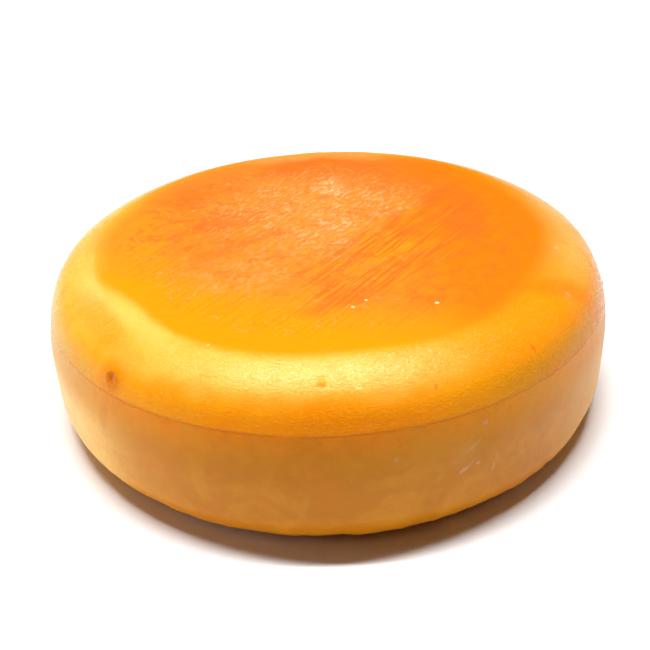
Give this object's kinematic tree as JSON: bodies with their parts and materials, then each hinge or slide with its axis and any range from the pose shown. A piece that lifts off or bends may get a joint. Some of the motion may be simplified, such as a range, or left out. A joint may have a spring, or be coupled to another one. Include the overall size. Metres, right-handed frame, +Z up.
{
  "type": "cheese wheel",
  "caption": "Whole wheel of pressed cheese with a flat top and base, rounded shoulder and foot, and a fine mould seam round its side, lying flat.",
  "frame": {"origin": "middle of the flat base, on the surface that the wheel rests on", "axes": "+Z up along the wheel's turning axis, from the base to the top; X and Y lie in the base, and -Y is the front"},
  "size_m": [0.35, 0.35, 0.1],
  "materials": {
    "rind": "orange cured rind with a thin semi-gloss coating, yellower on the shoulder, redder on top, duller on the side"
  },
  "bodies": {
    "root": {"cheese_wheel": "rind"}
  },
  "joints": []
}
